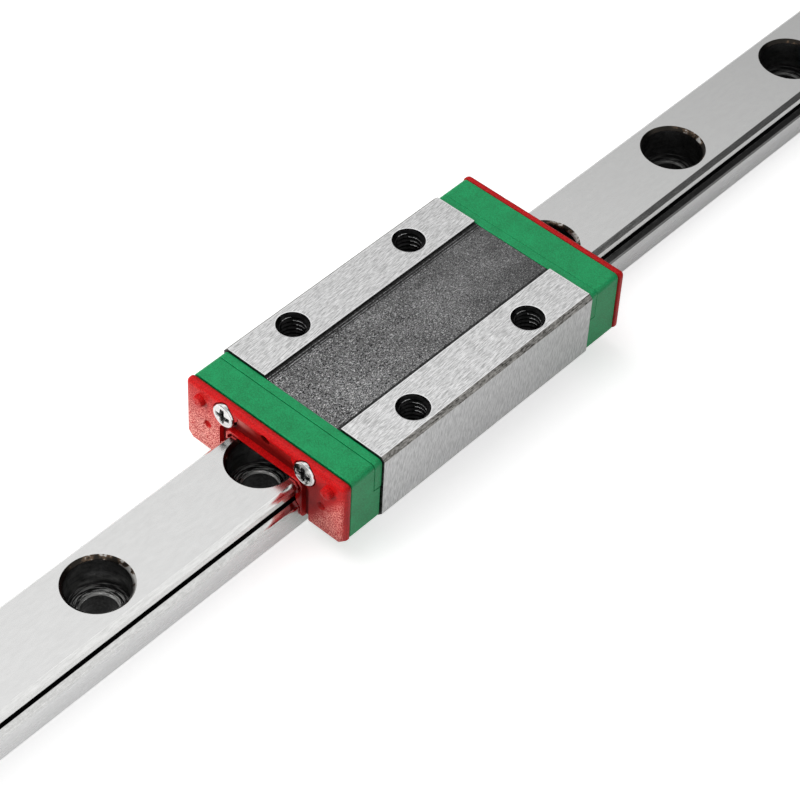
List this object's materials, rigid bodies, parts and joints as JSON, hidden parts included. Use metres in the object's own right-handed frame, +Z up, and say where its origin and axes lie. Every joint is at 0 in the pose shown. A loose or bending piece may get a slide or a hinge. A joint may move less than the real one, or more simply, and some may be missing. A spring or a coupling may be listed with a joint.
{
  "type": "miniature linear guide rail",
  "caption": "Miniature linear guide: a ground steel rail with counterbored bolt holes, and a long ball carriage with green end caps and red wiping seals.",
  "frame": {"origin": "on the rail's mounting face, under the middle of the rail", "axes": "+X along the rail to the far end, +Y across it to the left, +Z up from the mounting face"},
  "size_m": [0.175, 0.02, 0.01],
  "materials": {
    "ground_bearing_steel": "ground along the length, the recess between the lands blasted grey",
    "polished_ball_steel": "lapped bearing balls",
    "plated_screw_steel": "bright plated",
    "green_moulded_plastic": "moulded, fine sparked texture",
    "red_moulded_seal": "moulded with a rubber lip, satin"
  },
  "bodies": {
    "rail": {"rail": "ground_bearing_steel"},
    "carriage": {"carriage_block": "ground_bearing_steel", "return_plate_near": "green_moulded_plastic", "return_plate_far": "green_moulded_plastic", "end_cap_near": "green_moulded_plastic", "end_cap_far": "green_moulded_plastic", "end_seal_near": "red_moulded_seal", "end_seal_far": "red_moulded_seal", "end_screw_near_left": "plated_screw_steel", "end_screw_near_right": "plated_screw_steel", "end_screw_far_left": "plated_screw_steel", "end_screw_far_right": "plated_screw_steel", "ball_retainer_wire_left": "plated_screw_steel", "ball_retainer_wire_right": "plated_screw_steel", "return_ball_train_left": "polished_ball_steel", "return_ball_train_right": "polished_ball_steel", "loaded_ball_left_01": "polished_ball_steel", "loaded_ball_left_02": "polished_ball_steel", "loaded_ball_left_03": "polished_ball_steel", "loaded_ball_left_04": "polished_ball_steel", "loaded_ball_left_05": "polished_ball_steel", "loaded_ball_left_06": "polished_ball_steel", "loaded_ball_left_07": "polished_ball_steel", "loaded_ball_left_08": "polished_ball_steel", "loaded_ball_left_09": "polished_ball_steel", "loaded_ball_left_10": "polished_ball_steel", "loaded_ball_left_11": "polished_ball_steel", "loaded_ball_left_12": "polished_ball_steel", "loaded_ball_left_13": "polished_ball_steel", "loaded_ball_left_14": "polished_ball_steel", "loaded_ball_left_15": "polished_ball_steel", "loaded_ball_right_01": "polished_ball_steel", "loaded_ball_right_02": "polished_ball_steel", "loaded_ball_right_03": "polished_ball_steel", "loaded_ball_right_04": "polished_ball_steel", "loaded_ball_right_05": "polished_ball_steel", "loaded_ball_right_06": "polished_ball_steel", "loaded_ball_right_07": "polished_ball_steel", "loaded_ball_right_08": "polished_ball_steel", "loaded_ball_right_09": "polished_ball_steel", "loaded_ball_right_10": "polished_ball_steel", "loaded_ball_right_11": "polished_ball_steel", "loaded_ball_right_12": "polished_ball_steel", "loaded_ball_right_13": "polished_ball_steel", "loaded_ball_right_14": "polished_ball_steel", "loaded_ball_right_15": "polished_ball_steel"}
  },
  "joints": [
    {"name": "carriage_slide", "type": "slide", "parent": "rail", "child": "carriage", "axis": [1, 0, 0], "range_m": [-0.067, 0.067]}
  ]
}
